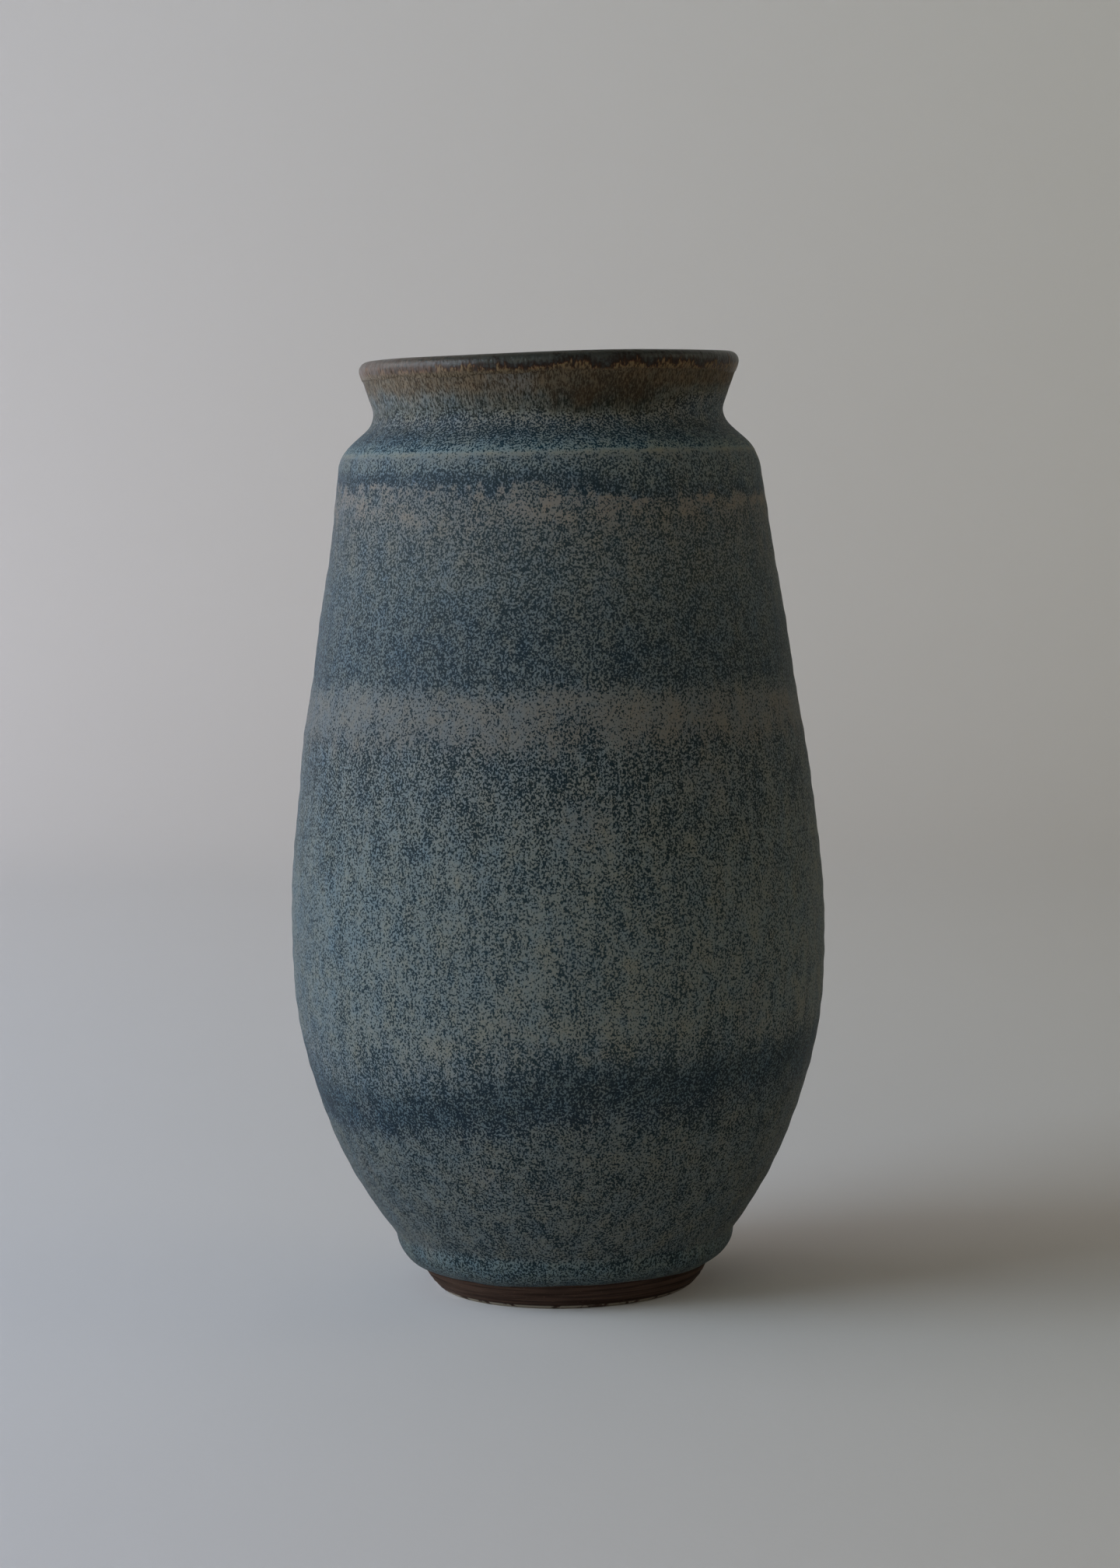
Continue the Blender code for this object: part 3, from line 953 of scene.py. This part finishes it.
def shaded_paper_colour(n):
    """The paper's colour with painted shade: darker and warmer to the right and the foot, and darker in the
    bend on the left.
    """
    depth = n.math("MAXIMUM", n.add(n.y, CAMERA_DISTANCE / MM), 300.0)
    across = n.math("DIVIDE", n.x, n.times(depth, VIEW_REACH))
    below_eye = n.math("SUBTRACT", CAMERA_HEIGHT / MM, n.z)
    down = n.math("DIVIDE", below_eye, n.times(depth, PICTURE_SHAPE * VIEW_REACH))
    right = n.math("ADD", n.times(across, 0.5), 0.5, clamp=True)
    near = n.math("ADD", n.times(down, 0.5), 0.35, clamp=True)
    colour = n.mix(right, PAPER, n.mix(1.0, PAPER, PAPER_RIGHT_SHADE, "MULTIPLY"))
    colour = n.mix(near, colour, n.mix(1.0, colour, PAPER_NEAR_SHADE, "MULTIPLY"))
    bend_shade = n.times(n.climb(n.y, 900.0, 1700.0), n.math("SUBTRACT", 1.0, right))
    return n.mix(n.times(bend_shade, 0.35), colour, n.mix(1.0, colour, PAPER_CURVE_SHADE, "MULTIPLY"))


def lamp_glow(n):
    """1 on the paper close in front of the left lamp, 0 well away from it and behind it."""
    across = n.times(n.add(n.x, LAMP_FLAT / MM), math.cos(LIGHT_RISE))
    above = n.times(n.math("SUBTRACT", n.z, LAMP_HEIGHT / MM), math.sin(LIGHT_RISE))
    ahead = n.math("SUBTRACT", across, above)
    return n.times(n.climb(ahead, 1150.0, 350.0), n.math("GREATER_THAN", ahead, 0.0))


def backdrop_material():
    """Pale matte paper with faint clouds and painted shade."""
    n = Nodes("matte_backdrop")
    colour = shaded_paper_colour(n)
    # Close to the left lamp the paper would burn out in views from the right, so the camera sees it dimmer.
    # The photograph's view does not reach that far.
    seen = n.tree.nodes.new("ShaderNodeLightPath").outputs["Is Camera Ray"]
    colour = n.mix(n.times(n.times(lamp_glow(n), seen), 0.75), colour, BLACK)
    cloud = n.noise(420.0, 1.0, detail=3.0, rough=0.5)
    colour = n.mix(cloud, colour, n.mix(1.0, colour, PAPER_CLOUD, "MULTIPLY"))
    roughness = n.add(0.9, n.swing(n.noise(30.0), 0.05))
    return n.finish(colour, roughness, n.noise(3.0, detail=3.0), PAPER_BUMP)


def cove_profile():
    """The cove's section: a flat floor, a quarter circle and a wall."""
    bend = COVE_WALL - COVE_FLOOR
    line = [(COVE_FLOOR * k / 6, 0.0) for k in range(1, 7)]
    for turn in np.linspace(0, math.pi / 2, 24)[1:]:
        line.append((COVE_FLOOR + bend * math.sin(turn), bend - bend * math.cos(turn)))
    line.append((COVE_WALL, COVE_HEIGHT))
    return np.array(line)


def cove():
    """A round floor that curves up into a wall on every side."""
    line = cove_profile()
    angle = np.arange(COVE_AROUND) * 2 * math.pi / COVE_AROUND
    x = np.r_[(line[:, :1] * np.cos(angle)).ravel(), 0]
    y = np.r_[(line[:, :1] * np.sin(angle)).ravel(), 0]
    z = np.r_[np.repeat(line[:, 1], COVE_AROUND), 0]
    middle = len(line) * COVE_AROUND
    grid = np.arange(middle).reshape(len(line), COVE_AROUND)
    right = np.roll(grid, -1, axis=1)
    faces = np.stack([grid[:-1], grid[1:], right[1:], right[:-1]], -1).reshape(-1, 4).tolist()
    faces += [(middle, int(grid[0, k]), int(right[0, k])) for k in range(COVE_AROUND)]
    floor = new_mesh("studio_cove", np.stack([x, y, z], 1), faces, backdrop_material())
    floor.data.flip_normals()


def area_light(name, place, aim, size, watts, colour):
    """A soft box of the given width and height, unseen by the camera."""
    data = bpy.data.lights.new(name, "AREA")
    data.shape = "RECTANGLE"
    data.size, data.size_y = size
    data.energy = watts
    data.color = colour
    light = bpy.data.objects.new(name, data)
    bpy.context.scene.collection.objects.link(light)
    light.location = place
    light.rotation_euler = (Vector(aim) - Vector(place)).to_track_quat("-Z", "Y").to_euler()
    light.visible_camera = False


def vase_lamp(name, azimuth, width, watts, colour):
    """A soft box aimed at the vase; azimuth 0 is the camera's side and left is negative."""
    turn = azimuth * DEG
    place = (LAMP_FLAT * math.sin(turn), -LAMP_FLAT * math.cos(turn), LAMP_HEIGHT)
    area_light(name, place, (0, 0, VASE_TOP / 2), (width, 1.5), watts, colour)


def studio():
    cove()
    for lamp in VASE_LAMPS:
        vase_lamp(*lamp)
    for name, place, aim, side, watts, colour in BACKDROP_LAMPS:
        area_light(name, place, aim, (side, side), watts, colour)
    world = bpy.data.worlds.new("studio_world")
    world.use_nodes = True
    world.node_tree.nodes["Background"].inputs["Color"].default_value = WORLD_GREY
    bpy.context.scene.world = world
    bpy.context.scene.view_settings.view_transform = "Standard"


def camera():
    data = bpy.data.cameras.new("photo_camera")
    data.lens = LENS_MM
    data.sensor_width = SENSOR_MM
    data.shift_x = CAMERA_SHIFT
    eye = bpy.data.objects.new("photo_camera", data)
    bpy.context.scene.collection.objects.link(eye)
    place = Matrix.Translation((0, -CAMERA_DISTANCE, CAMERA_HEIGHT))
    tip = Matrix.Rotation(math.pi / 2 - CAMERA_PITCH, 4, "X")
    roll = Matrix.Rotation(-CAMERA_ROLL, 4, "Z")
    eye.matrix_world = place @ tip @ roll
    bpy.context.scene.camera = eye


build_vase()
studio()
camera()
